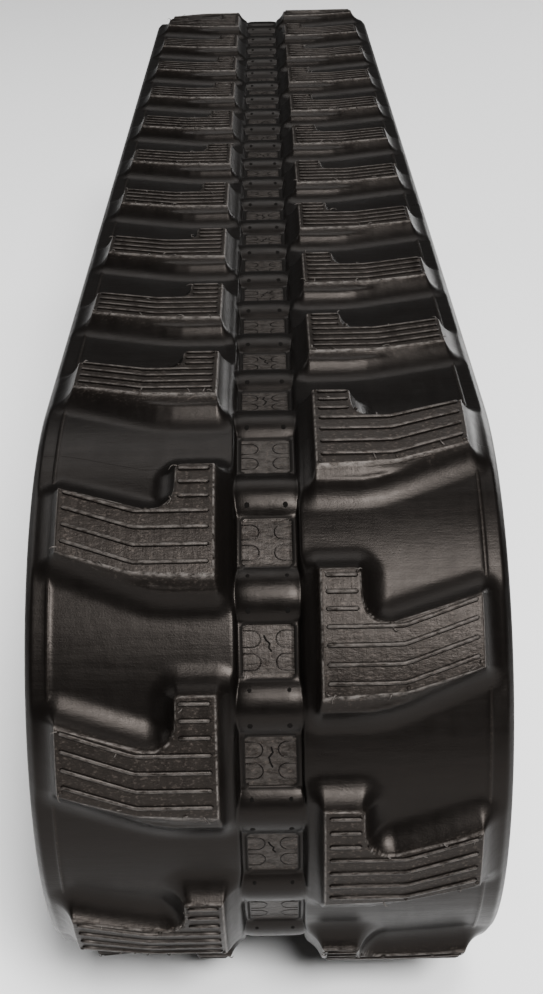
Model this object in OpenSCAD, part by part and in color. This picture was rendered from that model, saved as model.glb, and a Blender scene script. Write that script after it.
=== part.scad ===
// Rubber track for a 1 to 1.5 t mini excavator: 230 mm wide, 52.5 mm core pitch, 56 cores.
// Millimetres. X across the belt, Y along it, Z up. It stands on its lugs, z = 0.
// A place on the loop is s, in pitches: 0 at the top of the near bend, + over the top run.

/* [Loop] */
// Distance between two steel cores along the cord line
pitch = 52.5; // [48:0.5:60]
// Pitches in each straight run
run_links = 19; // [12:1:24]
// Pitches in each half-round bend
bend_links = 9; // [8:1:12]
// Where the first core sits after a bend, in pitches
core_phase = 0.75; // [0.5:0.05:0.95]

/* [Belt] */
// Overall width of the belt
belt_w = 231; // [180:1:300]
// Rubber over the cord line between the lugs
valley_h = 6.6; // [5:0.1:9]
// Rubber over the cord line at the belt's edge
edge_h = 3.6; // [2.5:0.1:5]
// Depth of the parting face between tread and inner rubber
parting = 2; // [1.6:0.1:2.4]
// Depth of the inner face of the belt
inner_depth = 12; // [11:0.5:14]
// Depth of the two roller paths
path_depth = 16; // [14:0.5:18]
// Inner edge of a roller path, from the middle
path_in = 30; // [28:1:34]
// Outer edge of a roller path, from the middle
path_out = 58; // [50:1:70]

/* [Tread lugs] */
// Lug height over the cord line
lug_h = 19.4; // [15:0.1:25]
// Inner edge of the lug tops, from the middle
lug_in = 25; // [20:0.5:30]
// Knee of the lug's lower edge, from the middle
lug_knee = 63.6; // [55:0.5:75]
// Outer edge of the lug tops, from the middle
lug_out = 99.3; // [90:0.5:105]
// Length of the inner tab along the belt
lug_len = 53.8; // [48:0.2:60]
// Width of the inner tab at its end
tab_w = 18.7; // [15:0.1:24]
// Rise of the lower edge from knee to outer corner
lug_rise = 11.4; // [6:0.1:16]
// Length of the outer end along the belt
end_len = 30.2; // [24:0.2:36]
// Lug start after the core under it
lug_after_core = 6.3; // [4:0.1:9]
// How far a flank runs out at its foot
flank = 12; // [8:0.5:15]

/* [Centre channel] */
// Half width of the channel floor
channel_w = 14.2; // [13:0.2:18]
// Floor of the thin pad over each window
pad_h = 2; // [1.5:0.1:3]
// Crest of the bump over each core
bump_h = 8; // [5:0.1:9]
// Length of a bump along the belt
bump_len = 27; // [22:0.5:30]
// Side of a sprocket window
window = 24; // [20:0.5:28]

/* [Steel cores] */
// Overall length of a core, across the belt
core_w = 184; // [150:1:200]
// Width of a core along the belt
core_len = 24; // [18:0.5:26]
// Thickness of the wings
wing_t = 7; // [5:0.1:8]
// Depth of the wings' outer face
core_top = 3; // [2.8:0.1:3.6]
// Depth of the middle bridge
hub_depth = 15; // [13:0.5:17]
// Depth of the guide horn tips
horn_depth = 42; // [34:1:48]
// Clear gap between the two horns
horn_gap = 27; // [24:0.5:32]
// Thickness of a horn at its foot
horn_t = 15; // [12:0.5:18]
// Length of a horn's tip along the belt
horn_tip = 15; // [10:0.5:20]

/* [Steel cords] */
// Cord diameter
cord_d = 2.8; // [1.8:0.1:3]
// Cords on each side
cords = 8; // [6:1:12]
// First cord, from the middle
cord_in = 34; // [30:0.5:38]
// Spacing of the cords
cord_step = 8; // [5:0.5:9]

/* [Show] */
// Node to show

/* [Hidden] */
$fn = 72;
links = 2 * (run_links + bend_links);
R = bend_links * pitch / PI; // cord line radius
zc = R + lug_h; // height of the bends' centres
lug_root = 2.4; // the lugs start this far outside the cord line, inside the belt
yc = run_links * pitch / 2; // the bends' centres are at -yc and +yc
steel = [0.30, 0.30, 0.31];
rubber = [0.11, 0.105, 0.10];
inner = [0.15, 0.145, 0.14];
wire = [0.62, 0.58, 0.45];
function two(n) = n < 10 ? str("0", n) : str(n);
function core_name(i) = str("core_", two(i + 1));
// core i, from the far end of the bottom run, through the near bend, over the top run
function core_s(i) = i - run_links - bend_links + core_phase;

// ---------- placing things on the loop ----------

// turn of the belt at s, in degrees
function turn(s) =
    s < -bend_links ? 180
    : s < 0 ? -s * 180 / bend_links
    : s <= run_links ? 0
    : -(s - run_links) * 180 / bend_links;

// place of the cord line at s
function where(s) =
    s < -bend_links ? [0, -yc + (-bend_links - s) * pitch, zc - R]
    : s < 0 ? [0, -yc - R * sin(turn(s)), zc + R * cos(turn(s))]
    : s <= run_links ? [0, -yc + s * pitch, zc + R]
    : [0, yc - R * sin(turn(s)), zc + R * cos(turn(s))];

// children drawn flat, X across, Y along the belt, Z outwards from the cord line
module on_loop(s) {
    translate(where(s)) rotate([turn(s), 0, 0]) children();
}

// one straight run of a section drawn as X across and Y outwards
module run(extra = 0) {
    rotate([90, 0, 0])
        translate([0, 0, -yc - extra]) linear_extrude(2 * (yc + extra)) children();
}

// a section swept right round the loop, exact
module sweep() {
    translate([0, 0, zc + R]) run() children();
    translate([0, 0, zc - R]) rotate([180, 0, 0]) run() children();
    for (e = [0, 1])
        translate([0, e == 0 ? -yc : yc, zc])
            rotate([0, 90, 0]) rotate([0, 0, e == 0 ? 180 : 0])
                rotate_extrude(angle = 180) translate([R, 0]) mirror([1, -1]) children();
}

// ---------- tread rubber ----------

module cord_spots(side) {
    for (k = [0 : cords - 1])
        translate([side * (cord_in + k * cord_step), 0]) circle(d = cord_d, $fn = 24);
}

module tread_section() {
    w = belt_w / 2;
    difference() {
        polygon([
            [-w, -parting], [w, -parting], [w, edge_h], [w - 3.2, valley_h],
            [lug_in - 2, valley_h], [channel_w, pad_h], [-channel_w, pad_h],
            [-lug_in + 2, valley_h], [-w + 3.2, valley_h], [-w, edge_h]
        ]);
        cord_spots(1);
        cord_spots(-1);
    }
}

// corners of a lug, right hand side, from its inner lower corner round; d = how far out, or in if negative
function lug_line(d) =
    let (
        y2 = lug_rise + end_len, tx = lug_in + tab_w,
        nx = lug_in + tab_w + 13.6, ny = y2 - 11,
        i = (lug_in - channel_w - 1) * d / flank,
        o = (belt_w / 2 - lug_out - 0.2) * d / flank
    ) [
        [lug_in - i, -d], [lug_knee + 0.15 * d, 1.6 - d], [lug_out + o, lug_rise - 0.75 * d],
        [lug_out + o, y2 + 0.75 * d], [nx + 0.45 * d, ny + d],
        [nx - 6 + 0.6 * d, ny + 1.2 + 0.9 * d], [nx - 10.6 + 0.6 * d, ny + 5.6 + 0.7 * d],
        [tx + 0.3 + 0.6 * d, ny + 13 + 0.6 * d], [tx + 0.6 * d, lug_len - 2 + 0.9 * d],
        [tx - 2 + 0.6 * d, lug_len + d], [lug_in - i, lug_len + d]
    ];

// flank offset that belongs to height h, so that every flank stays one plane
function flank_at(h) = flank * (lug_h - h) / (lug_h - lug_root);

// a lug taller and deeper than needed; the lug band trims it to the belt's round or straight shape
module lug(side) {
    low = -3;
    high = lug_h + 3;
    foot = lug_line(flank_at(low));
    top = lug_line(flank_at(high));
    n = len(top);
    points = concat(
        [for (p = foot) [side * p[0], p[1], low]],
        [for (p = top) [side * p[0], p[1], high]]
    );
    // each cap is a fan from the inner lower corner, which sees the whole outline
    foot_cap = [for (k = [0 : n - 1]) k];
    top_cap = concat([n], [for (k = [n - 1 : -1 : 1]) n + k]);
    sides = [for (k = [0 : n - 1]) each [
        [k, n + k, n + (k + 1) % n], [k, n + (k + 1) % n, (k + 1) % n]
    ]];
    faces = concat([foot_cap], [top_cap], sides);
    // a mirrored lug lists its corners the other way round
    turned = [for (f = faces) concat([f[0]], [for (k = [len(f) - 1 : -1 : 1]) f[k]])];
    polyhedron(points, faces = side > 0 ? faces : turned);
}

module lug_band() {
    w = belt_w / 2 - 0.2;
    polygon([[-w, lug_root], [w, lug_root], [w, lug_h], [-w, lug_h]]);
}

// lug n starts after core n; right hand lugs on odd cores, left hand lugs on even ones
module placed_lug(n) {
    mid = lug_after_core + lug_len / 2;
    on_loop(wrapped(core_s(n) + mid / pitch)) translate([0, -lug_len / 2, 0])
        lug(n % 2 == 0 ? 1 : -1);
}

function wrapped(s) = s > run_links + bend_links ? s - links : s;

module bump(i) {
    r = (bump_len * bump_len / 4 + pow(bump_h - pad_h, 2)) / (2 * (bump_h - pad_h));
    on_loop(core_s(i)) rotate([90, 0, 90])
        translate([0, 0, -channel_w - 2]) linear_extrude(2 * channel_w + 4)
            intersection() {
                translate([0, bump_h - r]) circle(r);
                translate([-bump_len / 2, 0.5]) square([bump_len, bump_h]);
            }
}

module tread_rubber() {
    color(rubber) {
        sweep() tread_section();
        intersection() {
            union() for (n = [0 : links - 1]) placed_lug(n);
            sweep() lug_band();
        }
        for (i = [0 : links - 1]) bump(i);
    }
}

// ---------- inner rubber with windows, pockets and roller paths ----------

module inner_section() {
    w = belt_w / 2;
    polygon([
        [-w, -parting], [-w, -inner_depth + 4], [-w + 6, -inner_depth],
        [-path_out - 3, -inner_depth], [-path_out, -path_depth], [-path_in, -path_depth],
        [-path_in + 2, -inner_depth], [path_in - 2, -inner_depth], [path_in, -path_depth],
        [path_out, -path_depth], [path_out + 3, -inner_depth], [w - 6, -inner_depth],
        [w, -inner_depth + 4], [w, -parting]
    ]);
}

module window_cut(i) {
    on_loop(wrapped(core_s(i) + 0.5))
        translate([-window / 2, -window / 2, -25]) cube([window, window, 25]);
}

module inner_rubber() {
    color(inner) difference() {
        sweep() inner_section();
        for (i = [0 : links - 1]) {
            window_cut(i);
            on_loop(core_s(i)) core();
        }
    }
}

// ---------- steel cores ----------

module core_section() {
    w = core_w / 2;
    b = core_top + wing_t;
    g = horn_gap / 2;
    polygon([
        [-w, -core_top], [w, -core_top], [w, -b + 2.5], [w - 3, -b], [g + horn_t + 6, -b],
        [g + horn_t, -hub_depth + 1], [g + horn_t - 4, -horn_depth + 3],
        [g + horn_t - 7, -horn_depth], [g + 3.5, -horn_depth], [g + 1.2, -horn_depth + 3],
        [g, -hub_depth], [-g, -hub_depth], [-g - 1.2, -horn_depth + 3],
        [-g - 3.5, -horn_depth], [-g - horn_t + 7, -horn_depth],
        [-g - horn_t + 4, -horn_depth + 3], [-g - horn_t, -hub_depth + 1],
        [-g - horn_t - 6, -b], [-w + 3, -b], [-w, -b + 2.5]
    ]);
}

// the core's outline from the side: a flat bar, with horns that narrow to their tips
module core_side() {
    a = core_len / 2;
    t = horn_tip / 2;
    polygon([
        [-a, -core_top], [-a, -hub_depth], [-t, -horn_depth + 2], [-t + 2, -horn_depth],
        [t - 2, -horn_depth], [t, -horn_depth + 2], [a, -hub_depth], [a, -core_top]
    ]);
}

module core() {
    intersection() {
        rotate([90, 0, 0]) translate([0, 0, -core_len / 2])
            linear_extrude(core_len) core_section();
        rotate([90, 0, 90]) translate([0, 0, -core_w / 2 - 1])
            linear_extrude(core_w + 2) core_side();
    }
}

// ---------- steel cords ----------

module cord_set(side) {
    color(wire) sweep() cord_spots(side);
}

// ---------- what is drawn ----------

tread_rubber();
inner_rubber();
cord_set(-1);  // cords_left
cord_set(1);  // cords_right
for (i = [0 : links - 1])
    color(steel) on_loop(core_s(i)) core();
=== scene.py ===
# Rubber track: the endless belt's looks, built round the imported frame. Blender's metres, Z up; the belt
# itself is worked out in millimetres and turned into metres by to_world.
import math

import bpy
import numpy as np
from mathutils import Matrix, Vector


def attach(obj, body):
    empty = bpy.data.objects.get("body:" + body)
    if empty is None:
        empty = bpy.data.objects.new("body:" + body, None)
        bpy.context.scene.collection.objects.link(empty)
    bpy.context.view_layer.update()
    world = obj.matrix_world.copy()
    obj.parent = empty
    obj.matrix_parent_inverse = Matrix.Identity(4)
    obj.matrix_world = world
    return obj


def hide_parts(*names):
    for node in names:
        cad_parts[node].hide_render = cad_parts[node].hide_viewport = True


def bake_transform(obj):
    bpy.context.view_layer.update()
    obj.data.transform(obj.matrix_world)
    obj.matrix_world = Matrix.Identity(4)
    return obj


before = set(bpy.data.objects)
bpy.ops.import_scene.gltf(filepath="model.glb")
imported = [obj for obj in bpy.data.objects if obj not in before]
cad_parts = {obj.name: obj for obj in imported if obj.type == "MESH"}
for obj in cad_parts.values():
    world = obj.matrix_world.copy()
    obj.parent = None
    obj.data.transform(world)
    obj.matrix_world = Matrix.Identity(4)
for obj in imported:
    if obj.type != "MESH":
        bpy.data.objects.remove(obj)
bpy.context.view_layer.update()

# ---------- the belt's own measures, in millimetres, as the CAD has them ----------
PITCH = 52.5
# pitches in each straight run and in each bend, and in the whole loop
RUN, BEND = 19, 9
LINKS = 2 * (RUN + BEND)
# how far the cores are moved on along the belt, in pitches
PHASE = 0.75
# radius of a bend at the cord line, height of the CAD's lugs over that line, and the bends' centres
R = BEND * PITCH / math.pi
LUG_H = 19.4
ZC = R + LUG_H
YC = RUN * PITCH / 2
HALF_W = 115.5
# from a core to the lower edge of the lug after it
LUG_START = 6.3
# the cords on each side: how many, the first one's place from the middle, their spacing and radius
CORD_COUNT, CORD_FIRST, CORD_STEP, CORD_R = 8, 34, 8, 1.4

# ---------- the looks' own heights over the cord line, in millimetres ----------
# lug faces and valleys, and in the channel the pads over the windows and the crests over the cores
TOP, VALLEY = 18.1, 6.6
PAD, CREST = 1.9, 8.0
# the valleys end in a low lip on this line, and the belt slopes off outside it
EDGE_LIP, LIP_HIGH, LIP_WIDE, EDGE_SLOPE = 104.3, 0.7, 1.7, 0.27
# the facet on a lug's lower side goes down no further than this
FACET_DROP = 3.2
# the window pad's half sizes and corner radius
PAD_X, PAD_S, PAD_R = 12.7, 12.9, 3.2
# the lugs turn up along the belt between these two lines, by this slope
TURN_FROM, TURN_TO, TURN_SLOPE, TURN_SOFT = 61.0, 100.5, 0.275, 4.0
# where the tread and the inner moulding meet, each a little past the other
TREAD_LOW, INNER_HIGH = -2.0, -1.9


def core_s(n):
    """Place of core n along the loop, in pitches from the top of the near bend."""
    return n - RUN - BEND + PHASE


def to_world(s, x, h):
    """Places on the loop: s in mm from the top of the near bend, x across, h out from the cord line."""
    s, x, h = np.broadcast_arrays(np.asarray(s, float), x, h)
    lo, hi = -BEND * PITCH, RUN * PITCH
    total = LINKS * PITCH
    s = np.where(s > (RUN + BEND) * PITCH, s - total, s)
    s = np.where(s < -(RUN + BEND) * PITCH, s + total, s)
    near = (s < 0) & (s > lo)
    far = s > hi
    low = s <= lo
    a = np.where(near, -s / R, np.where(far, (s - hi) / R, 0.0))
    y = np.where(near, -YC - (R + h) * np.sin(a), np.where(far, YC + (R + h) * np.sin(a), -YC + s))
    z = np.where(near | far, ZC + (R + h) * np.cos(a), ZC + R + h)
    y = np.where(low, -YC + (lo - s), y)
    z = np.where(low, ZC - R - h, z)
    return np.stack([x, y, z], -1) * 0.001


# ---------- small helpers ----------
def smin(a, b, k):
    """The lower of two heights, rounded over k where they meet."""
    h = np.clip(0.5 + 0.5 * (b - a) / k, 0, 1)
    return b * (1 - h) + a * h - k * h * (1 - h)


def smax(a, b, k):
    """The higher of two heights, rounded over k where they meet."""
    return -smin(-a, -b, k)


def clean_cuts(values, gap=0.12):
    """The values in order, without those that lie within a gap of the one before."""
    out = []
    for v in sorted(values):
        if not out or v - out[-1] > gap:
            out.append(v)
    return np.array(out)


def spaced(*spans):
    """Cuts from (start, end, step) spans."""
    out = []
    for a, b, step in spans:
        out += list(np.linspace(a, b, max(1, round((b - a) / step)) + 1))
    return out


def mirrored(half):
    """Cuts from the middle outward, put on both sides of it."""
    return np.concatenate([-half[:0:-1], half])


def both_sides(half):
    """Places from one edge to the middle, carried on to the other edge."""
    half = np.array(half, float)
    return np.concatenate([half, -half[-2::-1]])


def from_core(d):
    """Distance along the belt from the nearest core, with its sign; d is the distance from any core."""
    return (d + PITCH / 2) % PITCH - PITCH / 2


# ---------- the tread's surface as heights over the flat belt ----------
def lug_outline():
    """Top face of a right-hand lug: x from the middle, t along the belt from its lower edge."""
    pts = [(25.0, -5.5), (47.0, -5.2), (55.0, -4.0), (64.0, -1.2), (75.0, 2.7), (100.2, 11.5)]
    pts += [(100.2, 41.8), (58.4, 30.2)]
    # the hollow corner beside the tab is an arc
    cx, cy, r = 55.6, 42.0, 11.6
    for k in range(7):
        a = math.radians(262 - k * 13.6)
        pts.append((cx + r * math.cos(a), cy + r * math.sin(a)))
    pts += [(43.8, 47.0), (43.7, 52.2), (42.2, 53.8), (25.0, 53.8)]
    return np.array(pts)


OUTLINE = lug_outline()


def signed_distance(x, t, poly):
    """Distance to the outline's edge, negative inside."""
    p = np.stack([x, t], -1)
    best = np.full(x.shape, 1e9)
    inside = np.zeros(x.shape, bool)
    n = len(poly)
    for i in range(n):
        a, b = poly[i], poly[(i + 1) % n]
        ab, ap = b - a, p - a
        k = np.clip((ap @ ab) / (ab @ ab), 0, 1)
        d = np.linalg.norm(ap - k[..., None] * ab, axis=-1)
        best = np.minimum(best, d)
        crosses = (a[1] > t) != (b[1] > t)
        at = (b[0] - a[0]) * (t - a[1]) / (b[1] - a[1] + 1e-12) + a[0]
        inside ^= crosses & (x < at)
    return np.where(inside, -best, best)


def flank_height(d):
    """Height beside a lug: a steep plane, then a broad fillet into the valley."""
    th, r = math.radians(70), 17.0
    drop = TOP - VALLEY - r * (1 - math.cos(th))
    run = drop / math.tan(th)
    end = run + r * math.sin(th)
    back = np.clip(end - d, 0, r * math.sin(th))
    arc = VALLEY + r - np.sqrt(np.clip(r * r - back**2, 0, None))
    return np.where(d < run, TOP - d * math.tan(th), arc)


def side_height(ax, t):
    """Height away from the channel, for one side; t runs over one period of two pitches."""
    period = 2 * PITCH
    # past the end of a valley the belt's edge slopes off from a low rounded lip
    lip = LIP_HIGH * np.exp(-(((ax - EDGE_LIP) / LIP_WIDE) ** 2))
    z = VALLEY + lip + np.minimum(EDGE_LIP - ax, 0) * EDGE_SLOPE
    for shift in (-period, 0, period):
        tt = t + shift
        d = signed_distance(ax, tt, OUTLINE)
        # below a rim line the lower side is cut back as a flat facet before it drops
        rim = np.interp(ax, [25, 63.6, 100.2], [0, 1.6, 11.5])
        slope = np.interp(ax, [46, 64], [0.53, 0.9])
        facet = TOP - np.minimum(np.maximum(rim - tt, 0) * slope, FACET_DROP)
        z = smax(z, smin(facet, flank_height(d), 0.6), 0.4)
    # the lug's outer end slopes off at 45 degrees
    z = smin(z, 19.3 - (ax - 99.8), 0.6)
    # the wall of the centre channel
    wall = np.interp(ax, [12.2, 14.2, 16.6, 21.6, 25.4, 60], [-6, 1.0, 8.5, 14.6, 18.2, 60])
    return smin(z, wall, 0.5)


def rounded_box(x, y, half_x, half_y, r):
    """Distance to the edge of a rectangle with round corners, negative inside."""
    qx, qy = np.abs(x) - half_x + r, np.abs(y) - half_y + r
    return np.hypot(np.maximum(qx, 0), np.maximum(qy, 0)) + np.minimum(np.maximum(qx, qy), 0) - r


def channel_height(x, ds):
    """Floor of the centre channel; ds is the distance from the core under it."""
    # the bump over a core is part of a cylinder
    r = 18.4
    w = np.abs(ds)
    barrel = CREST - (r - np.sqrt(np.clip(r * r - np.minimum(w, r) ** 2, 0, None)))
    # the bump droops toward the channel's walls
    barrel = barrel - 0.6 * (np.abs(x) / 14.6) ** 6
    dw = PITCH / 2 - w
    hollow = rounded_box(x, dw, PAD_X, PAD_S, PAD_R)
    pad = PAD + 0.9 * np.clip((hollow + 0.7) / 0.9, 0, 1)
    return smax(barrel, pad, 0.7)


def soft_ramp(v):
    """Zero below 0 and v above it, with a soft turn."""
    return np.sqrt(v**2 + TURN_SOFT**2) / 2 + v / 2


def shear(ax):
    """The lugs' outer ends turn up along the belt; the tread's mesh rows turn with them."""
    return TURN_SLOPE * (soft_ramp(ax - TURN_FROM) - soft_ramp(ax - TURN_TO))


def tread_height(x, u, even):
    """Height at x across and u past the start of lug n; even says that lug n is on the right."""
    ax = np.abs(x)
    own = (x > 0) == even
    t = np.where(own, u, u + PITCH)
    z = side_height(ax, t)
    channel = channel_height(x, from_core(u + LUG_START))
    return np.where(ax < 18, smax(z, channel, 0.9), z)


# cuts of the tread's mesh: along one pitch, and across from the middle, finer where the surface turns
ROWS = clean_cuts(spaced(
    (0, 0.9, 0.45), (0.9, 2.6, 0.42), (2.6, 15.2, 1.25), (15.2, 29.2, 1.75), (29.2, 31.6, 0.6),
    (31.6, 38.4, 1.13), (38.4, 50.9, 1.25), (50.9, 52.5, 0.53)))[:-1]
COLS = mirrored(clean_cuts(spaced(
    (0, 12, 1.5), (12, 16.0, 0.67), (16.0, 21.4, 1.35), (21.4, 23, 0.53), (23, 24.6, 0.8), (24.6, 26.2, 0.4),
    (26.2, 42.6, 2.3), (42.6, 45, 0.6), (45, 60, 1.25), (60, 98.4, 2.4), (98.4, 101.4, 0.5),
    (101.4, 103, 0.8), (103, 106, 0.6), (106, 109, 1.5), (109, HALF_W, 1.08))))


def build_mesh(name, verts, faces, mask=None):
    """A smooth mesh object; the mask is the height value that the rubber's material reads."""
    me = bpy.data.meshes.new(name)
    me.from_pydata([tuple(v) for v in verts], [], faces)
    me.update()
    me.polygons.foreach_set("use_smooth", np.ones(len(me.polygons), bool))
    if mask is not None:
        a = me.attributes.new("height", "FLOAT", "POINT")
        a.data.foreach_set("value", np.asarray(mask, np.float32))
    ob = bpy.data.objects.new(name, me)
    bpy.context.scene.collection.objects.link(ob)
    return ob


def stitch(upper, lower, xu, xl):
    """Triangles between two rows of points, both running along +x."""
    out, i, j = [], 0, 0
    while i < len(upper) - 1 or j < len(lower) - 1:
        if j == len(lower) - 1 or (i < len(upper) - 1 and xu[i + 1] <= xl[j + 1]):
            out.append((upper[i], lower[j], upper[i + 1]))
            i += 1
        else:
            out.append((upper[i], lower[j], lower[j + 1]))
            j += 1
    return out


def grid_faces(rows, width):
    """Quads between rows of points, each row a closed ring."""
    i = np.arange(rows - 1)[:, None] * width
    j = np.arange(width)[None, :]
    k = (j + 1) % width
    return np.stack([i + j, i + k, i + k + width, i + j + width], -1).reshape(-1, 4)


def tube_faces(rings, width):
    """Faces of a closed tube: quads between its rings, and a polygon over each end."""
    last = (rings - 1) * width
    ends = [list(range(width - 1, -1, -1)), list(range(last, last + width))]
    return grid_faces(rings, width).tolist() + ends


# the tread's side wall, with a thin rib of flash low down, and its underside
SIDE_TOP = 3.6
SIDE_X = np.array([115.62, 115.66, 115.6, 116.1, 116.1, HALF_W])
SIDE_H = np.array([2.9, 1.4, -0.7, -1.15, -1.7, TREAD_LOW])
UNDER_X = both_sides([104, 90, 75, 60, 50, 43, 36, 30, 26, 23.5, 21, 18.5, 16, 13, 8, 0])


def row_places(base, cuts, s0, s1):
    """Row places in mm from s0 to s1 pitches: the cuts of every pitch, and a thin row inside each end."""
    a, b = s0 * PITCH, s1 * PITCH
    n0, n1 = math.floor((a - base) / PITCH) - 1, math.ceil((b - base) / PITCH) + 1
    inner = [v for n in range(n0, n1 + 1) for v in base + n * PITCH + cuts if a + 0.35 < v < b - 0.35]
    return np.array([a, a + 0.15] + inner + [b - 0.15, b])


def end_caps(rows, width, top_x, low_x, lower_first):
    """Triangles that close both ends of a tube of rows; lower_first says which way the tube is wound."""
    nx = len(top_x)
    last = (rows - 1) * width
    low_i = [width - 1 - k for k in range(width - nx)]
    cap = stitch(list(range(nx)), low_i, list(top_x), [low_x[k - nx] for k in low_i])
    flipped = [(a, c, b) for a, b, c in cap]
    first, second = (cap, flipped) if lower_first else (flipped, cap)
    return [list(c) for c in first] + [[last + i for i in c] for c in second]


def tread_tone(x, h, ds):
    """Value for the rubber's material: 0 in valleys, 1 on faces, over 1 on rims, below 0 where painted dark
    as shade.
    """
    tone = np.clip((h - VALLEY) / (TOP - VALLEY), 0, 1)
    # the rims, just under the faces
    gap = np.abs(h - (TOP - 0.35))
    tone = np.where((h > TOP - 1.4) & (h < TOP - 0.04), 1 + 0.6 * np.clip(1 - gap, 0, 1), tone)
    # the pads, their borders painted near black as shade in the crease round each pad, and the lip at the
    # ends of the valleys
    outside = h > 0
    on_pad = (np.abs(x) < 12.6) & (np.abs(ds) > PITCH / 2 - 12.6) & outside
    tone = np.where(on_pad, 1.12, tone)
    edge = rounded_box(x, PITCH / 2 - np.abs(ds), PAD_X, PAD_S, PAD_R)
    tone = np.where((edge > -0.3) & (edge < 1.0) & outside & (h < PAD + 1.2), -0.8, tone)
    # the lip is painted lighter: a painted highlight along the crease
    lip_highlight = (np.abs(np.abs(x) - EDGE_LIP) < 1.0) & outside & (h < VALLEY + 1)
    return np.where(lip_highlight, 0.8, tone).reshape(-1)


def lug_heights(rows, base, x, turn):
    """Heights of the outer surface; every second pitch has its lug on the other side."""
    n = np.floor((rows - base) / PITCH + 1e-9).astype(int)
    u = rows - base - n * PITCH
    h = np.empty(x.shape)
    for even in (True, False):
        pick = (n % 2 == 0) == even
        if pick.any():
            h[pick] = tread_height(x[pick], u[pick][:, None] + turn[None, :], even)
    h[:, 0] = h[:, -1] = SIDE_TOP
    return h


def tread_piece(s0, s1):
    """Points, faces and tone of the tread from s0 to s1 pitches along the loop."""
    base = core_s(0) * PITCH + LUG_START
    rows = row_places(base, ROWS, s0, s1)
    turn = shear(np.abs(COLS))
    top_x = np.broadcast_to(COLS, (len(rows), len(COLS)))
    low_x = np.concatenate([SIDE_X, UNDER_X, -SIDE_X[::-1]])
    low_h = np.concatenate([SIDE_H, np.full(len(UNDER_X), TREAD_LOW), SIDE_H[::-1]])
    low_s = rows[:, None] + shear(np.minimum(np.abs(low_x), HALF_W))[None, :]
    s = np.hstack([rows[:, None] + turn[None, :], low_s])
    x = np.hstack([top_x, np.broadcast_to(low_x, low_s.shape)])
    h = np.hstack([lug_heights(rows, base, top_x, turn), np.broadcast_to(low_h, low_s.shape)])
    verts = to_world(s, x, h).reshape(-1, 3)
    width = s.shape[1]
    faces = grid_faces(len(rows), width).tolist()
    faces += end_caps(len(rows), width, COLS, low_x, True)
    return verts, faces, tread_tone(x, h, from_core(s - base + LUG_START))


# ---------- inner side ----------
def inner_height(x, ds):
    """Height of the inner face, below the cord line; ds is the distance from the core in it."""
    ax = np.abs(x)
    z = np.interp(ax, [0, 27.5, 30, 58, 61, 108.5, HALF_W], [-12, -12, -16, -16, -12, -12, -8])
    # a shallow rise over each wing of the core
    wing = rounded_box(ax - 76, ds, 15.5, 13.5, 4)
    z = z - 0.8 * np.clip(-wing / 1.6, 0, 1)
    # the sprocket window, with a lip round it
    dw = PITCH / 2 - np.abs(ds)
    hole = rounded_box(x, dw, 12.0, 12.0, 1.6)
    z = np.where(hole < 0.0, np.maximum(z, -2.4), z)
    lip = np.clip(1 - np.abs(hole - 1.0) / 1.0, 0, 1)
    z = z - 0.5 * lip * (hole > 0)
    # a collar round each guide horn
    collar = rounded_box(ax - 21, ds, 9.5, 13.2, 3)
    return z - 1.6 * np.clip(-collar / 1.8, 0, 1) * (hole > 0.5)


IN_COLS = mirrored(clean_cuts(spaced(
    (0, 9, 3), (9, 11.6, 0.9), (11.6, 12.1, 0.25), (12.1, 14.5, 0.8), (14.5, 26.5, 2), (26.5, 31, 0.9),
    (31, 57, 4.3), (57, 62, 0.9), (62, 90, 3), (90, 93, 1), (93, 108, 5), (108, HALF_W, 1.9))))
IN_ROWS = clean_cuts(spaced(
    (0, 10, 2.0), (10, 13.8, 0.9), (13.8, 14.2, 0.25), (14.2, 17, 0.9), (17, 35.5, 3.1), (35.5, 38.1, 0.9),
    (38.1, 38.6, 0.25), (38.6, 42.5, 0.9), (42.5, 52.5, 2.0)))[:-1]
IN_UNDER_X = both_sides([HALF_W, 104, 90, 75, 61, 58, 45, 30, 27.5, 20, 12, 6, 0])


def inner_piece(s0, s1):
    """Points, faces and tone of the inner moulding from s0 to s1 pitches along the loop."""
    base = core_s(0) * PITCH
    rows = row_places(base, IN_ROWS, s0, s1)
    nx = len(IN_COLS)
    x = np.tile(np.concatenate([IN_COLS, IN_UNDER_X]), (len(rows), 1))
    s = np.broadcast_to(rows[:, None], x.shape)
    h = np.full(x.shape, INNER_HIGH)
    h[:, :nx] = inner_height(x[:, :nx], from_core(s[:, :nx] - base))
    verts = to_world(s, x, h).reshape(-1, 3)
    width = x.shape[1]
    faces = grid_faces(len(rows), width)[:, ::-1].tolist()
    faces += end_caps(len(rows), width, IN_COLS, IN_UNDER_X, False)
    return verts, faces, np.clip((-h - 12) / 4, 0, 1).reshape(-1)


# ---------- cords ----------
def cord_piece(side, s0, s1):
    """Points and faces of one side's cords from s0 to s1 pitches along the loop."""
    verts, faces = [], []
    rows = np.linspace(s0 * PITCH, s1 * PITCH, max(2, round((s1 - s0) * 3)) + 1)
    ring = np.arange(8) * math.pi / 4
    for k in range(CORD_COUNT):
        base = len(verts)
        x = side * (CORD_FIRST + CORD_STEP * k) + CORD_R * np.cos(ring)[None, :]
        verts += list(to_world(rows[:, None], x, CORD_R * np.sin(ring)[None, :]).reshape(-1, 3))
        faces += [[base + i for i in f] for f in tube_faces(len(rows), len(ring))]
    return verts, faces


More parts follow.
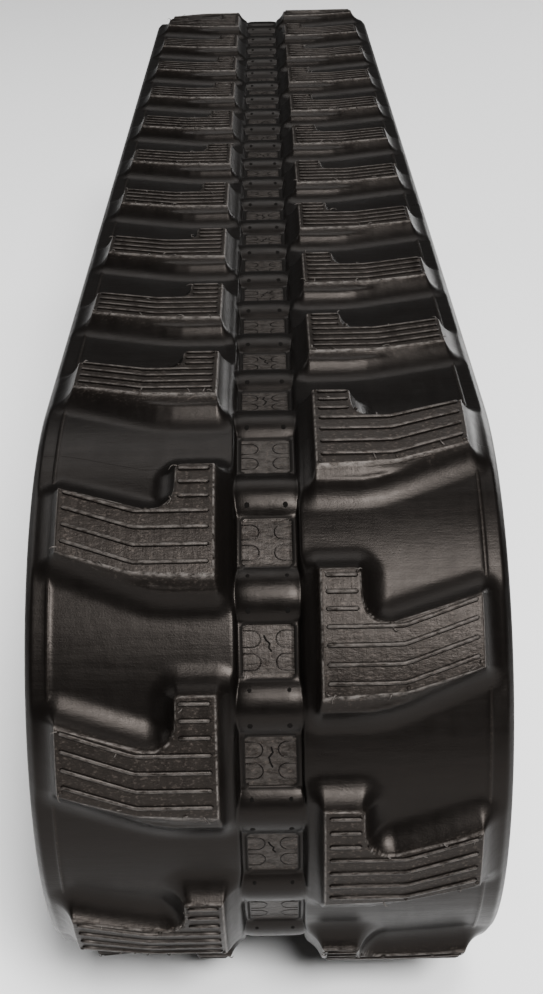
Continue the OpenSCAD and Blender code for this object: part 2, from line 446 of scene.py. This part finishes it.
# ---------- raised marks on the lug tops and the pads ----------
def bar_mesh(path, half_w, height, sink=0.5):
    """A low rounded bar along a path of (x, t) points, as (x, t, h over the face) and faces."""
    path = np.array(path, float)
    d = np.gradient(path, axis=0)
    d /= np.linalg.norm(d, axis=1)[:, None]
    normal = np.stack([-d[:, 1], d[:, 0]], -1)
    # across the bar: place in half widths, and height
    profile = [(-1, -sink), (-0.92, 0.25 * height), (-0.55, 0.82 * height), (0, height),
               (0.55, 0.82 * height), (0.92, 0.25 * height), (1, -sink)]
    # a rounded end: width, place in half widths past the path's end, height
    ends = [(0.12, -1.0, 0.05), (0.35, -0.85, 0.6), (1.0, -0.1, 1.0)]
    rings = [(path[0] + d[0] * half_w * a, normal[0], w, high) for w, a, high in ends]
    rings += [(path[i], normal[i], 1.0, 1.0) for i in range(1, len(path) - 1)]
    rings += [(path[-1] - d[-1] * half_w * a, normal[-1], w, high) for w, a, high in ends[::-1]]
    pts = []
    for c, n, w, high in rings:
        for a, z in profile:
            q = c + n * a * half_w * w
            pts.append((q[0], q[1], z * high if z > 0 else z))
    return pts, tube_faces(len(rings), len(profile))


def lug_bars():
    """The seven bars of one right-hand lug: three short ones on the tab, four long bent ones."""
    half_w, height = 1.15, 1.25
    parts = []
    for t in (50.9, 43.8, 36.5):
        parts.append(bar_mesh([(28.2, t), (33, t), (38, t), (41.6, t)], half_w, height))
    for t in (29.0, 21.3, 13.3, 5.5):
        path = [(28.2, t), (36, t), (46, t), (56, t), (63, t + 0.15)]
        path += [(66.2 + k * 6.2, t + 0.95 + k * 6.2 * 0.305) for k in range(6)]
        parts.append(bar_mesh(path, half_w, height))
    return parts


def pad_lines():
    """Four fine U outlines on a pad, open to the sides: paths of (x, t) from the pad's middle."""
    out = []
    for sx in (-1, 1):
        for sy in (-1, 1):
            cx, cy, r = sx * 7.6, sy * 5.4, 3.9
            path = [(sx * 12.2, cy + r)]
            path += [(cx - sx * r * math.sin(a), cy + r * math.cos(a)) for a in np.linspace(0, math.pi, 9)]
            path += [(sx * 12.2, cy - r)]
            out.append(bar_mesh(path, 0.34, 0.22, 0.3))
    return out


BARS = lug_bars()
PAD_LINES = pad_lines()
# two tears on the pads, as (x, t) from the pad's middle; each is drawn as a black bar, painted shade in the
# crack
TEARS = [
    [(-2.4, 7.6), (-1.2, 5.2), (0.6, 3.6), (0.1, 1.4), (1.5, -0.4)],
    [(0.4, 6.6), (1.1, 4.1), (-0.9, 1.5), (-0.2, -1.2), (0.8, -3.4)],
]
# vent pips near the corners of a lug, as x, t and radius, and places for further threads of flash
PIPS = [(26.6, 52.4, 1.0), (42.3, 52.3, 0.9), (26.6, 1.7, 1.0), (98.6, 13.2, 1.3), (98.4, 40.0, 1.3),
        (57.6, 29.6, 1.5), (64.5, 3.2, 1.1), (46.2, 36.0, 0.8)]
FLASH = [(31, 1.0), (39, 0.8), (47, 1.4), (55, 1.0), (72, 4.4), (80, 6.8), (90, 9.6), (28, 44), (42, 47),
         (36, 29), (70, 31), (84, 36)]
# lugs counted a little past both ends of the loop, so that the seam gets its marks too
LUGS = range(-2, LINKS + 2)


def pip_mesh(x, t, r, height):
    """A low round dot: rings of eight points and a tip."""
    pts = []
    for wide, z in ((1.0, -0.4), (0.92, height * 0.4), (0.55, height * 0.85)):
        for i in range(8):
            a = i * math.pi / 4
            pts.append((x + r * wide * math.cos(a), t + r * wide * math.sin(a), z))
    pts.append((x, t, height))
    faces = grid_faces(3, 8).tolist()
    faces += [(16 + i, 16 + (i + 1) % 8, 24) for i in range(8)]
    faces.append(tuple(range(7, -1, -1)))
    return pts, faces


def whisker_mesh(x, t, rng):
    """A thin bent thread of flash left by a mould vent: six rings of five points, narrowing to its tip."""
    length, lean = rng.uniform(2.0, 5.5), rng.uniform(0, 2 * math.pi)
    curl = rng.uniform(-1.2, 1.2)
    pts = []
    for k in range(6):
        f = k / 5
        a = lean + curl * f
        rise = 0.1 + 1.7 * math.sin(math.pi * min(f * 0.8, 0.9))
        cx, ct = x + length * f * math.cos(a), t + length * f * math.sin(a)
        r = 0.45 * (1 - 0.6 * f)
        for i in range(5):
            w = i * 2 * math.pi / 5
            across = r * math.cos(w)
            pts.append((cx - math.sin(a) * across, ct + math.cos(a) * across, rise + r * math.sin(w)))
    return pts, tube_faces(6, 5)


def lug_start(n):
    """Place of lug n's lower edge, in mm."""
    return core_s(n) * PITCH + LUG_START


def lug_side(n):
    """1 for a lug on the right, -1 for one on the left."""
    return 1 if n % 2 == 0 else -1


def lay(mesh, mark, at, side, under, tone):
    """Adds a mark to the tread: at is its place in mm, under the height of the surface below it."""
    verts, faces, mask = mesh
    p = np.array(mark[0])
    base = len(verts)
    verts.extend(to_world(at + p[:, 1], side * p[:, 0], under + p[:, 2]).tolist())
    mask.extend(np.broadcast_to(tone, len(p)).tolist())
    faces.extend([[base + i for i in (f if side < 0 else f[::-1])] for f in mark[1]])


def add_bars(mesh, a, b):
    """The bars of every lug whose middles lie in a..b, in mm; they ride with the surface under them."""
    for n in LUGS:
        for bar in BARS:
            p = np.array(bar[0])
            if a <= lug_start(n) + p[:, 1].mean() < b:
                # the bars' feet are painted dark as shade along their sides, and their crests lighter as a
                # painted highlight
                tone = np.interp(p[:, 2], [-0.1, 0.4, 0.9], [-0.4, 0.5, 1.28])
                lay(mesh, bar, lug_start(n), lug_side(n), TOP - 0.05, tone)


def add_pin_hole_shade(mesh, at, a, b):
    """Four flat black dots on the bump over the core at a place in mm: painted shade in place of the core's
    pin holes.
    """
    for sx in (-1, 1):
        for sy in (-1, 1):
            if a <= at + sy * 8.2 < b:
                dot = pip_mesh(sx * 9.4, sy * 8.2, 1.45 if sy < 0 else 1.1, 0.08)
                p = np.array(dot[0])
                lay(mesh, dot, at, 1, channel_height(p[:, 0], p[:, 1]), -1.0)


def add_pad_marks(mesh, n, a, b, draws):
    """The outlines on the pad after core n, and on most pads a tear."""
    mid = (core_s(n) + 0.5) * PITCH
    if not a <= mid < b:
        return
    for line in PAD_LINES:
        lay(mesh, line, mid, 1, PAD, 0.0)
    if draws[0] < 0.7:
        path = np.array(TEARS[n % 2]) * (0.7 + 0.5 * draws[1])
        # the tear is painted black as the shade in the crack
        lay(mesh, bar_mesh(path, 0.5, 0.18, 0.3), mid, 1 if draws[2] < 0.5 else -1, PAD, -1.0)


def add_vent_marks(mesh, n, a, b, rng):
    """Pips and threads of flash on lug n, each left out by chance; the threads are painted lighter as a
    highlight.
    """
    start, side = lug_start(n), lug_side(n)
    for x, t, r in PIPS:
        d = rng.random(3)
        here = a <= start + t < b
        if here and d[0] < 0.62:
            lay(mesh, pip_mesh(x, t, r, 0.5 + 0.3 * d[1]), start, side, TOP - 0.02, 1.0)
        if here and d[2] < 0.45:
            lay(mesh, whisker_mesh(x, t, rng), start, side, TOP - 0.9, 1.5)
    for x, t in FLASH:
        if a <= start + t < b and rng.random() < 0.35:
            lay(mesh, whisker_mesh(x + rng.uniform(-2, 2), t, rng), start, side, TOP - 1.0, 1.5)


def add_marks(mesh, a, b, rng):
    """Black dots of painted shade on the bumps, outlines and black tears of painted shade on the pads, and
    vent marks on the lugs, from a to b in mm.
    """
    for n in range(LINKS + 1):
        add_pin_hole_shade(mesh, core_s(n) * PITCH, a, b)
        add_pad_marks(mesh, n, a, b, rng.random(4))
    for n in LUGS:
        add_vent_marks(mesh, n, a, b, rng)


# ---------- materials ----------
# the torn edges' colour, which also paints highlights on bar crests and threads of flash, and the black of
# painted shade
TORN_AND_HIGHLIGHT_RUBBER = (0.085, 0.077, 0.071)
SHADE_BLACK = (0.001, 0.001, 0.001)


def new_material(name):
    """A material with only an output and a Principled node: the material, its tree and that node."""
    m = bpy.data.materials.new(name)
    m.use_nodes = True
    m.node_tree.nodes.clear()
    out = m.node_tree.nodes.new("ShaderNodeOutputMaterial")
    bsdf = m.node_tree.nodes.new("ShaderNodeBsdfPrincipled")
    m.node_tree.links.new(bsdf.outputs[0], out.inputs[0])
    return m, m.node_tree, bsdf


def noise(nt, scale, detail, rough, vec):
    n = nt.nodes.new("ShaderNodeTexNoise")
    n.inputs["Scale"].default_value = scale
    n.inputs["Detail"].default_value = detail
    n.inputs["Roughness"].default_value = rough
    nt.links.new(vec, n.inputs["Vector"])
    return n.outputs["Fac"]


def ramp(nt, fac, stops):
    """A colour ramp from two or more (place, colour) stops."""
    n = nt.nodes.new("ShaderNodeValToRGB")
    for e, (place, color) in zip(n.color_ramp.elements, (stops[0], stops[-1])):
        e.position = place
        e.color = (*color, 1)
    for place, color in stops[1:-1]:
        n.color_ramp.elements.new(place).color = (*color, 1)
    nt.links.new(fac, n.inputs[0])
    return n.outputs[0]


def math_node(nt, op, a, b, clamp=False):
    n = nt.nodes.new("ShaderNodeMath")
    n.operation = op
    n.use_clamp = clamp
    for i, v in enumerate((a, b)):
        if isinstance(v, float):
            n.inputs[i].default_value = v
        else:
            nt.links.new(v, n.inputs[i])
    return n.outputs[0]


def times(nt, a, b, clamp=False):
    return math_node(nt, "MULTIPLY", a, b, clamp)


def plus(nt, a, b):
    return math_node(nt, "ADD", a, b)


def above(nt, v, start, gain):
    """How far v is past a start, times a gain, held in 0..1."""
    return times(nt, math_node(nt, "SUBTRACT", v, start), gain, True)


def mix_color(nt, fac, a, b):
    # sockets 6 and 7 of a Mix node are its two colours, and output 2 the mixed one
    n = nt.nodes.new("ShaderNodeMix")
    n.data_type = "RGBA"
    nt.links.new(fac, n.inputs[0])
    for i, v in ((6, a), (7, b)):
        if isinstance(v, tuple):
            n.inputs[i].default_value = (*v, 1)
        else:
            nt.links.new(v, n.inputs[i])
    return n.outputs[2]


def stretched(nt, scale):
    """Object coordinates, scaled on each axis."""
    co = nt.nodes.new("ShaderNodeTexCoord")
    mp = nt.nodes.new("ShaderNodeMapping")
    mp.inputs["Scale"].default_value = scale
    nt.links.new(co.outputs["Object"], mp.inputs["Vector"])
    return mp.outputs[0]


def add_bump(nt, bsdf, height, strength, distance):
    b = nt.nodes.new("ShaderNodeBump")
    b.inputs["Strength"].default_value = strength
    b.inputs["Distance"].default_value = distance
    nt.links.new(height, b.inputs["Height"])
    nt.links.new(b.outputs[0], bsdf.inputs["Normal"])


def rubber_material(name, dark, worn, rough):
    """Black rubber; the mesh's height value says where it is worn (to 1), where it is torn, and on bar crests
    and threads of flash painted lighter as a highlight (over 1), and where it is painted black as shade
    (below 0).
    """
    m, nt, bsdf = new_material(name)
    plain = stretched(nt, (1, 1, 1))
    cloud = noise(nt, 11, 5, 0.6, plain)
    along = noise(nt, 26, 6, 0.7, stretched(nt, (6, 1, 1)))
    across = noise(nt, 60, 5, 0.7, stretched(nt, (0.35, 3, 3)))
    grain = noise(nt, 1100, 3, 0.6, plain)
    soft = noise(nt, 150, 3, 0.5, plain)
    flaky = noise(nt, 420, 4, 0.7, stretched(nt, (0.5, 1, 1)))
    specks = noise(nt, 900, 2, 0.6, stretched(nt, (0.6, 1, 1)))
    mark = nt.nodes.new("ShaderNodeAttribute")
    mark.attribute_name = "height"
    height = mark.outputs["Fac"]

    # worn faces, in patches
    top = math_node(nt, "POWER", math_node(nt, "MAXIMUM", height, 0.0), 4.0, True)
    patch = above(nt, along, 0.30, 2.2)
    amount = times(nt, top, plus(nt, times(nt, patch, 0.6), 0.35), True)
    tone = mix_color(nt, amount, mix_color(nt, cloud, dark, tuple(c * 2.1 for c in dark)), worn)
    # torn edges, which on bar crests and threads of flash are a painted highlight, specks of dust on the worn
    # parts, and the painted shade in black last
    edge = times(nt, above(nt, height, 1.0, 1.6), above(nt, flaky, 0.38, 4.5), True)
    tone = mix_color(nt, edge, tone, TORN_AND_HIGHLIGHT_RUBBER)
    dust = times(nt, above(nt, specks, 0.56, 7.0), amount)
    tone = mix_color(nt, dust, tone, tuple(c * 4.0 for c in worn))
    # black is mixed in where the value is below 0: painted shade
    hole = times(nt, height, -1.0, True)
    nt.links.new(mix_color(nt, hole, tone, SHADE_BLACK), bsdf.inputs["Base Color"])

    wear = plus(nt, times(nt, along, 0.35), times(nt, cloud, 0.3))
    wear = plus(nt, wear, times(nt, across, 0.35))
    shine = ramp(nt, wear, [(0.38, (rough[0],) * 3), (0.62, (rough[1],) * 3)])
    matt = plus(nt, times(nt, amount, 0.07), times(nt, hole, 0.6))
    nt.links.new(plus(nt, shine, matt), bsdf.inputs["Roughness"])

    fine = plus(nt, times(nt, grain, 0.25), times(nt, across, 0.7))
    relief = plus(nt, fine, times(nt, soft, 0.45))
    scuff = times(nt, times(nt, flaky, amount), 2.6)
    add_bump(nt, bsdf, plus(nt, relief, scuff), 0.35, 0.0006)
    bsdf.inputs["Specular IOR Level"].default_value = 0.11
    bsdf.inputs["Specular Tint"].default_value = (1.0, 0.88, 0.8, 1)
    return m


def steel_material():
    m, nt, bsdf = new_material("forged_steel")
    plain = stretched(nt, (1, 1, 1))
    cloud = noise(nt, 45, 6, 0.65, plain)
    grain = noise(nt, 500, 4, 0.6, plain)
    steel_colors = [(0.3, (0.045, 0.042, 0.04)), (0.6, (0.09, 0.085, 0.08)), (0.78, (0.13, 0.085, 0.055))]
    nt.links.new(ramp(nt, cloud, steel_colors), bsdf.inputs["Base Color"])
    nt.links.new(ramp(nt, cloud, [(0.3, (0.38,) * 3), (0.7, (0.62,) * 3)]), bsdf.inputs["Roughness"])
    bsdf.inputs["Metallic"].default_value = 0.75
    add_bump(nt, bsdf, grain, 0.35, 0.0005)
    return m


def wire_material():
    m, nt, bsdf = new_material("brass_wire")
    v = noise(nt, 300, 3, 0.6, stretched(nt, (1, 1, 1)))
    brass = ramp(nt, v, [(0.3, (0.42, 0.36, 0.22)), (0.7, (0.6, 0.54, 0.38))])
    nt.links.new(brass, bsdf.inputs["Base Color"])
    bsdf.inputs["Metallic"].default_value = 1.0
    bsdf.inputs["Roughness"].default_value = 0.35
    return m


# the two rubbers: dark colour, worn colour, and roughness from shiny to dull
TREAD_MAT = rubber_material(
    "tread_rubber_mat", (0.0012, 0.001, 0.0009), (0.0095, 0.0078, 0.0067), (0.27, 0.41))
INNER_MAT = rubber_material(
    "inner_rubber_mat", (0.0035, 0.003, 0.0027), (0.02, 0.017, 0.015), (0.45, 0.65))
STEEL_MAT = steel_material()
WIRE_MAT = wire_material()


# ---------- the belt's pieces: rigid spans, and spans between two bodies, baked in place ----
SEED = 7
# how far a cord stops inside the ends of its piece of rubber, in pitches
CORD_GAP = 0.02
# label, first and last place in pitches, and the body; a flexing span has both bodies and where it bends
SPANS = [
    ("bottom_run_far", -28.0, -22.0, "bottom_run"),
    ("bottom_run_middle", -22.0, -16.0, "bottom_run"),
    ("bottom_run_near", -16.0, -10.0, "bottom_run"),
    ("near_low_flex", -10.0, -8.0, ("bottom_run", "near_bend", -9.05, -8.45)),
    ("near_bend", -8.0, -1.0, "near_bend"),
    ("near_top_flex", -1.0, 1.0, ("near_bend", "top_run", -0.05, 0.55)),
    ("top_run_near", 1.0, 7.0, "top_run"),
    ("top_run_middle", 7.0, 13.0, "top_run"),
    ("top_run_far", 13.0, 18.0, "top_run"),
    ("far_top_flex", 18.0, 20.0, ("top_run", "far_bend", 18.95, 19.55)),
    ("far_bend", 20.0, 28.0, "far_bend"),
]


def settle(ob, mat, node, body):
    """Gives a piece its material and slot, hides the CAD part it stands in for, and ties it to its body; a
    piece between two bodies is only baked in place.
    """
    ob.data.materials.append(mat)
    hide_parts(node)
    if isinstance(body, tuple):
        a, b, s0, s1 = body
        tuple(to_world(s0 * PITCH, 0, 0))
        tuple(to_world(s1 * PITCH, 0, 0))
        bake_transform(ob)
    else:
        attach(ob, body)


def make_belt():
    for label, s0, s1, body in SPANS:
        verts, faces, mask = tread_piece(s0, s1)
        mesh = (verts.tolist(), faces, mask.tolist())
        add_bars(mesh, s0 * PITCH, s1 * PITCH)
        add_marks(mesh, s0 * PITCH, s1 * PITCH, np.random.default_rng(SEED))
        ob = build_mesh("tread_" + label, *mesh)
        settle(ob, TREAD_MAT, "tread_rubber", body)
        ob = build_mesh("inner_" + label, *inner_piece(s0, s1))
        settle(ob, INNER_MAT, "inner_rubber", body)
        for side, word in ((-1, "left"), (1, "right")):
            ob = build_mesh(f"cords_{word}_{label}", *cord_piece(side, s0 + CORD_GAP, s1 - CORD_GAP))
            settle(ob, WIRE_MAT, "cords_" + word, body)


def dress_cores():
    for name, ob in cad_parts.items():
        if name.startswith("core_"):
            ob.data.materials.clear()
            ob.data.materials.append(STEEL_MAT)


# ---------- camera, floor and light ----------
# the photo's camera, as fitted: place in pitches from the near end of the bottom run's cord line, turn in
# degrees, and focal length over the picture's height
CAMERA_AT = (0.079, -13.479, 12.163)
CAMERA_TURN = (28.624, -0.129, -1.172)
FOCAL = 1.494265594
SENSOR = 36
FLOOR_HALF = 6.0


def make_camera():
    pitch, yaw, roll = map(math.radians, CAMERA_TURN)
    cp, sp = math.cos(pitch), math.sin(pitch)
    fwd = Vector((math.sin(yaw) * cp, math.cos(yaw) * cp, -sp))
    right = Vector((math.cos(yaw), -math.sin(yaw), 0))
    up = right.cross(fwd)
    r2 = math.cos(roll) * right + math.sin(roll) * up
    u2 = -math.sin(roll) * right + math.cos(roll) * up
    cam = bpy.data.objects.new("camera", bpy.data.cameras.new("camera"))
    cam.data.sensor_width = SENSOR
    cam.data.sensor_fit = "AUTO"
    cam.data.lens = SENSOR * FOCAL
    cam.data.clip_start = 0.01
    x, y, z = CAMERA_AT
    at = Vector((x * PITCH, y * PITCH - YC, z * PITCH + LUG_H)) * 0.001
    cam.matrix_world = Matrix.Translation(at) @ Matrix((
        (r2.x, u2.x, -fwd.x, 0), (r2.y, u2.y, -fwd.y, 0), (r2.z, u2.z, -fwd.z, 0), (0, 0, 0, 1)))
    bpy.context.scene.collection.objects.link(cam)
    bpy.context.scene.camera = cam


def make_floor():
    me = bpy.data.meshes.new("floor")
    d = FLOOR_HALF
    me.from_pydata([(-d, -d, 0), (d, -d, 0), (d, d, 0), (-d, d, 0)], [], [(0, 1, 2, 3)])
    ob = bpy.data.objects.new("floor", me)
    bpy.context.scene.collection.objects.link(ob)
    m, _, bsdf = new_material("pale_floor")
    bsdf.inputs["Base Color"].default_value = (0.86, 0.86, 0.86, 1)
    bsdf.inputs["Roughness"].default_value = 0.7
    me.materials.append(m)


def area_light(name, at, to, size, power):
    """A white rectangular light, aimed at a place; metres and watts."""
    light = bpy.data.lights.new(name, "AREA")
    light.shape = "RECTANGLE"
    light.size, light.size_y = size
    light.energy = power
    ob = bpy.data.objects.new(name, light)
    ob.location = at
    ob.rotation_euler = (Vector(to) - Vector(at)).to_track_quat("-Z", "Y").to_euler()
    bpy.context.scene.collection.objects.link(ob)


def make_light():
    world = bpy.data.worlds.new("studio")
    world.use_nodes = True
    world.node_tree.nodes["Background"].inputs[0].default_value = (1, 1, 1, 1)
    world.node_tree.nodes["Background"].inputs[1].default_value = 0.08
    bpy.context.scene.world = world
    # name, place, aim, size and power
    area_light("key", (0.9, -2.95, 3.05), (0, -0.3, 0.2), (1.2, 0.9), 350)
    area_light("upper_key", (0.5, -2.0, 3.6), (0, -0.4, 0.2), (1.0, 0.8), 115)
    area_light("side", (2.3, 2.2, 0.75), (0, 0.2, 0.3), (1.8, 1.0), 52)
    area_light("left_fill", (-2.6, 0.4, 1.3), (0, 0, 0.2), (1.8, 1.2), 22)
    area_light("overhead", (0.0, 1.8, 4.2), (0, 1.0, 0), (3.6, 2.4), 110)


make_camera()
make_floor()
make_light()
make_belt()
dress_cores()
